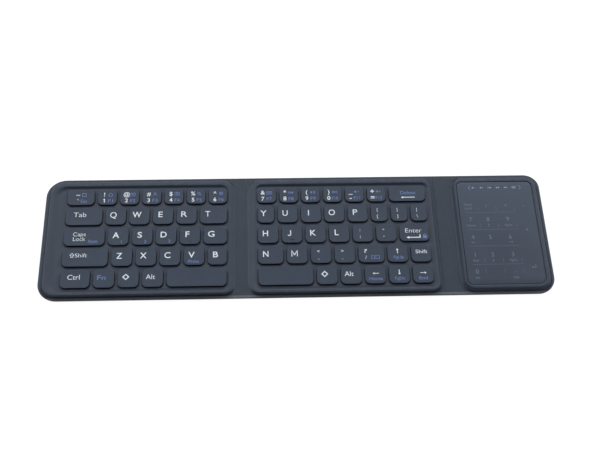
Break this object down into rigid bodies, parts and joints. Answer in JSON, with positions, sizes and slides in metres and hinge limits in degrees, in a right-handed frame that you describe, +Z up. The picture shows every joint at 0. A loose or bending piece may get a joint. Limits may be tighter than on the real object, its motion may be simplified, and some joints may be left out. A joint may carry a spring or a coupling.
{
  "type": "folding keyboard",
  "caption": "Thin pocket keyboard in a leather cover that folds in three: two key panels and a glass touch panel joined by flexible spines.",
  "frame": {"origin": "on the table under the middle of the open keyboard", "axes": "+X along the open keyboard from the left key panel to the touch panel, +Y away from the user, +Z up out of the keys"},
  "size_m": [0.356, 0.0976, 0.0049],
  "materials": {
    "keycap": "smooth soft-touch moulding",
    "cover_leather": "fine-grained synthetic leather",
    "housing_plastic": "fine spark texture",
    "soft_coat": "soft-touch coating",
    "support_aluminium": "rolled sheet",
    "switch_film": "polyester film with printed tracks",
    "dome_silicone": "moulded silicone",
    "flex_film": "polyimide film",
    "touch_glass": "satin cover glass, back-printed",
    "circuit_board": "solder-masked laminate",
    "battery_pouch": "laminated foil",
    "socket_steel": "stamped and plated"
  },
  "bodies": {
    "centre_panel": {"centre_cover": "cover_leather", "centre_tray": "housing_plastic", "centre_support_plate": "support_aluminium", "centre_switch_membrane": "switch_film", "centre_dome_sheet": "dome_silicone", "centre_key_plate": "soft_coat", "centre_rim": "soft_coat"},
    "left_spine": {"left_spine": "cover_leather", "left_flex_cable": "flex_film"},
    "left_panel": {"left_cover": "cover_leather", "left_tray": "housing_plastic", "left_support_plate": "support_aluminium", "left_switch_membrane": "switch_film", "left_dome_sheet": "dome_silicone", "left_key_plate": "soft_coat", "left_rim": "soft_coat"},
    "right_spine": {"right_spine": "cover_leather", "right_flex_cable": "flex_film"},
    "touch_panel": {"pad_cover": "cover_leather", "pad_tray": "housing_plastic", "pad_rim": "soft_coat", "touch_glass": "touch_glass", "touch_sensor_board": "circuit_board", "battery": "battery_pouch", "main_board": "circuit_board", "charge_socket": "socket_steel"},
    "key_space_left": {"key_space_left": "keycap"},
    "key_space_right": {"key_space_right": "keycap"},
    "key_enter": {"key_enter": "keycap"},
    "key_z": {"key_z": "keycap"},
    "key_x": {"key_x": "keycap"},
    "key_c": {"key_c": "keycap"},
    "key_v": {"key_v": "keycap"},
    "key_b": {"key_b": "keycap"},
    "key_a": {"key_a": "keycap"},
    "key_s": {"key_s": "keycap"},
    "key_d": {"key_d": "keycap"},
    "key_f": {"key_f": "keycap"},
    "key_g": {"key_g": "keycap"},
    "key_q": {"key_q": "keycap"},
    "key_w": {"key_w": "keycap"},
    "key_e": {"key_e": "keycap"},
    "key_r": {"key_r": "keycap"},
    "key_t": {"key_t": "keycap"},
    "key_n": {"key_n": "keycap"},
    "key_m": {"key_m": "keycap"},
    "key_h": {"key_h": "keycap"},
    "key_j": {"key_j": "keycap"},
    "key_k": {"key_k": "keycap"},
    "key_l": {"key_l": "keycap"},
    "key_y": {"key_y": "keycap"},
    "key_u": {"key_u": "keycap"},
    "key_i": {"key_i": "keycap"},
    "key_o": {"key_o": "keycap"},
    "key_p": {"key_p": "keycap"},
    "number_keys_left": {"number_keys_left": "keycap"},
    "side_keys_left": {"side_keys_left": "keycap"},
    "number_keys_centre": {"number_keys_centre": "keycap"},
    "side_keys_centre": {"side_keys_centre": "keycap"},
    "punctuation_keys": {"punctuation_keys": "keycap"}
  },
  "joints": [
    {"name": "left_spine_fold", "type": "hinge", "parent": "centre_panel", "child": "left_spine", "pos_m": [-0.0354, 0, 0.0014], "axis": [0, 1, 0], "range_deg": [0, 90]},
    {"name": "left_panel_fold", "type": "hinge", "parent": "left_spine", "child": "left_panel", "pos_m": [-0.0429, 0, 0.0014], "axis": [0, 1, 0], "range_deg": [0, 90]},
    {"name": "right_spine_fold", "type": "hinge", "parent": "centre_panel", "child": "right_spine", "pos_m": [0.1004, 0, 0.0014], "axis": [0, -1, 0], "range_deg": [0, 90]},
    {"name": "touch_panel_fold", "type": "hinge", "parent": "right_spine", "child": "touch_panel", "pos_m": [0.1129, 0, 0.0014], "axis": [0, -1, 0], "range_deg": [0, 90]},
    {"name": "key_space_left_press", "type": "slide", "parent": "left_panel", "child": "key_space_left", "axis": [0, 0, -1], "range_m": [0, 0.0011], "stiffness_N_per_m": 200, "springref_m": -0.001, "deforming": ["left_dome_sheet"]},
    {"name": "key_space_right_press", "type": "slide", "parent": "centre_panel", "child": "key_space_right", "axis": [0, 0, -1], "range_m": [0, 0.0011], "stiffness_N_per_m": 200, "springref_m": -0.001, "deforming": ["centre_dome_sheet"]},
    {"name": "key_enter_press", "type": "slide", "parent": "centre_panel", "child": "key_enter", "axis": [0, 0, -1], "range_m": [0, 0.0011], "stiffness_N_per_m": 200, "springref_m": -0.001},
    {"name": "key_z_press", "type": "slide", "parent": "left_panel", "child": "key_z", "axis": [0, 0, -1], "range_m": [0, 0.0011], "stiffness_N_per_m": 200, "springref_m": -0.001},
    {"name": "key_x_press", "type": "slide", "parent": "left_panel", "child": "key_x", "axis": [0, 0, -1], "range_m": [0, 0.0011], "stiffness_N_per_m": 200, "springref_m": -0.001},
    {"name": "key_c_press", "type": "slide", "parent": "left_panel", "child": "key_c", "axis": [0, 0, -1], "range_m": [0, 0.0011], "stiffness_N_per_m": 200, "springref_m": -0.001},
    {"name": "key_v_press", "type": "slide", "parent": "left_panel", "child": "key_v", "axis": [0, 0, -1], "range_m": [0, 0.0011], "stiffness_N_per_m": 200, "springref_m": -0.001},
    {"name": "key_b_press", "type": "slide", "parent": "left_panel", "child": "key_b", "axis": [0, 0, -1], "range_m": [0, 0.0011], "stiffness_N_per_m": 200, "springref_m": -0.001},
    {"name": "key_a_press", "type": "slide", "parent": "left_panel", "child": "key_a", "axis": [0, 0, -1], "range_m": [0, 0.0011], "stiffness_N_per_m": 200, "springref_m": -0.001},
    {"name": "key_s_press", "type": "slide", "parent": "left_panel", "child": "key_s", "axis": [0, 0, -1], "range_m": [0, 0.0011], "stiffness_N_per_m": 200, "springref_m": -0.001},
    {"name": "key_d_press", "type": "slide", "parent": "left_panel", "child": "key_d", "axis": [0, 0, -1], "range_m": [0, 0.0011], "stiffness_N_per_m": 200, "springref_m": -0.001},
    {"name": "key_f_press", "type": "slide", "parent": "left_panel", "child": "key_f", "axis": [0, 0, -1], "range_m": [0, 0.0011], "stiffness_N_per_m": 200, "springref_m": -0.001},
    {"name": "key_g_press", "type": "slide", "parent": "left_panel", "child": "key_g", "axis": [0, 0, -1], "range_m": [0, 0.0011], "stiffness_N_per_m": 200, "springref_m": -0.001},
    {"name": "key_q_press", "type": "slide", "parent": "left_panel", "child": "key_q", "axis": [0, 0, -1], "range_m": [0, 0.0011], "stiffness_N_per_m": 200, "springref_m": -0.001},
    {"name": "key_w_press", "type": "slide", "parent": "left_panel", "child": "key_w", "axis": [0, 0, -1], "range_m": [0, 0.0011], "stiffness_N_per_m": 200, "springref_m": -0.001},
    {"name": "key_e_press", "type": "slide", "parent": "left_panel", "child": "key_e", "axis": [0, 0, -1], "range_m": [0, 0.0011], "stiffness_N_per_m": 200, "springref_m": -0.001},
    {"name": "key_r_press", "type": "slide", "parent": "left_panel", "child": "key_r", "axis": [0, 0, -1], "range_m": [0, 0.0011], "stiffness_N_per_m": 200, "springref_m": -0.001},
    {"name": "key_t_press", "type": "slide", "parent": "left_panel", "child": "key_t", "axis": [0, 0, -1], "range_m": [0, 0.0011], "stiffness_N_per_m": 200, "springref_m": -0.001},
    {"name": "key_n_press", "type": "slide", "parent": "centre_panel", "child": "key_n", "axis": [0, 0, -1], "range_m": [0, 0.0011], "stiffness_N_per_m": 200, "springref_m": -0.001},
    {"name": "key_m_press", "type": "slide", "parent": "centre_panel", "child": "key_m", "axis": [0, 0, -1], "range_m": [0, 0.0011], "stiffness_N_per_m": 200, "springref_m": -0.001},
    {"name": "key_h_press", "type": "slide", "parent": "centre_panel", "child": "key_h", "axis": [0, 0, -1], "range_m": [0, 0.0011], "stiffness_N_per_m": 200, "springref_m": -0.001},
    {"name": "key_j_press", "type": "slide", "parent": "centre_panel", "child": "key_j", "axis": [0, 0, -1], "range_m": [0, 0.0011], "stiffness_N_per_m": 200, "springref_m": -0.001},
    {"name": "key_k_press", "type": "slide", "parent": "centre_panel", "child": "key_k", "axis": [0, 0, -1], "range_m": [0, 0.0011], "stiffness_N_per_m": 200, "springref_m": -0.001},
    {"name": "key_l_press", "type": "slide", "parent": "centre_panel", "child": "key_l", "axis": [0, 0, -1], "range_m": [0, 0.0011], "stiffness_N_per_m": 200, "springref_m": -0.001},
    {"name": "key_y_press", "type": "slide", "parent": "centre_panel", "child": "key_y", "axis": [0, 0, -1], "range_m": [0, 0.0011], "stiffness_N_per_m": 200, "springref_m": -0.001},
    {"name": "key_u_press", "type": "slide", "parent": "centre_panel", "child": "key_u", "axis": [0, 0, -1], "range_m": [0, 0.0011], "stiffness_N_per_m": 200, "springref_m": -0.001},
    {"name": "key_i_press", "type": "slide", "parent": "centre_panel", "child": "key_i", "axis": [0, 0, -1], "range_m": [0, 0.0011], "stiffness_N_per_m": 200, "springref_m": -0.001},
    {"name": "key_o_press", "type": "slide", "parent": "centre_panel", "child": "key_o", "axis": [0, 0, -1], "range_m": [0, 0.0011], "stiffness_N_per_m": 200, "springref_m": -0.001},
    {"name": "key_p_press", "type": "slide", "parent": "centre_panel", "child": "key_p", "axis": [0, 0, -1], "range_m": [0, 0.0011], "stiffness_N_per_m": 200, "springref_m": -0.001},
    {"name": "number_keys_left_press", "type": "slide", "parent": "left_panel", "child": "number_keys_left", "axis": [0, 0, -1], "range_m": [0, 0.0011], "stiffness_N_per_m": 200, "springref_m": -0.001},
    {"name": "side_keys_left_press", "type": "slide", "parent": "left_panel", "child": "side_keys_left", "axis": [0, 0, -1], "range_m": [0, 0.0011], "stiffness_N_per_m": 200, "springref_m": -0.001},
    {"name": "number_keys_centre_press", "type": "slide", "parent": "centre_panel", "child": "number_keys_centre", "axis": [0, 0, -1], "range_m": [0, 0.0011], "stiffness_N_per_m": 200, "springref_m": -0.001},
    {"name": "side_keys_centre_press", "type": "slide", "parent": "centre_panel", "child": "side_keys_centre", "axis": [0, 0, -1], "range_m": [0, 0.0011], "stiffness_N_per_m": 200, "springref_m": -0.001},
    {"name": "punctuation_keys_press", "type": "slide", "parent": "centre_panel", "child": "punctuation_keys", "axis": [0, 0, -1], "range_m": [0, 0.0011], "stiffness_N_per_m": 200, "springref_m": -0.001}
  ]
}
